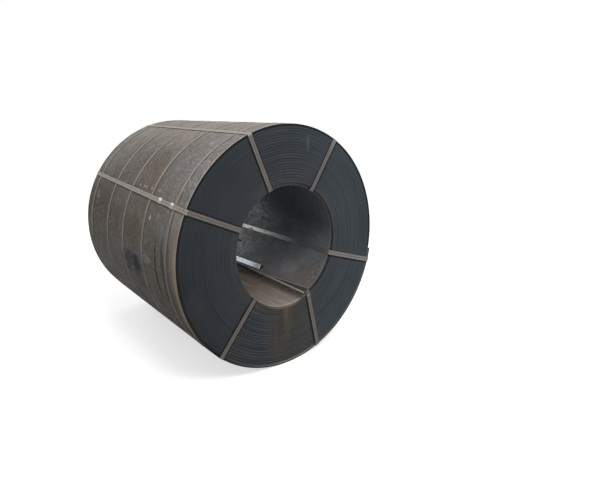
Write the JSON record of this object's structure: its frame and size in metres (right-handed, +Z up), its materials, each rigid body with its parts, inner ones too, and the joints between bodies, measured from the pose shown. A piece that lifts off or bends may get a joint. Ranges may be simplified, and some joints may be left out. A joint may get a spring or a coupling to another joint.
{
  "type": "steel coil",
  "caption": "Coil of hot-rolled steel strip lying with its eye horizontal, bound by steel eye straps through the bore and girth bands round the rim.",
  "frame": {"origin": "on the floor under the middle of the coil, at the centre of its length", "axes": "+Z up, +Y along the coil's horizontal axis from the front end to the back end, +X to the right seen from the front"},
  "size_m": [1.4992, 1.5066, 1.504],
  "materials": {
    "mill_scale": "hot-rolled mill scale, matt brown-grey, with light rust",
    "strapping": "dull weathered steel strapping",
    "seal": "bright zinc-coated strap seal"
  },
  "bodies": {
    "root": {"coil": "mill_scale", "girth_band_1": "strapping", "girth_band_2": "strapping", "girth_band_3": "strapping", "girth_band_4": "strapping", "girth_band_5": "strapping", "eye_strap_top_left": "strapping", "eye_strap_top_right": "strapping", "eye_strap_right": "strapping", "eye_strap_bottom_right": "strapping", "eye_strap_bottom_left": "strapping", "eye_strap_left": "strapping", "strap_seal_1": "seal", "strap_seal_2": "seal"}
  },
  "joints": []
}
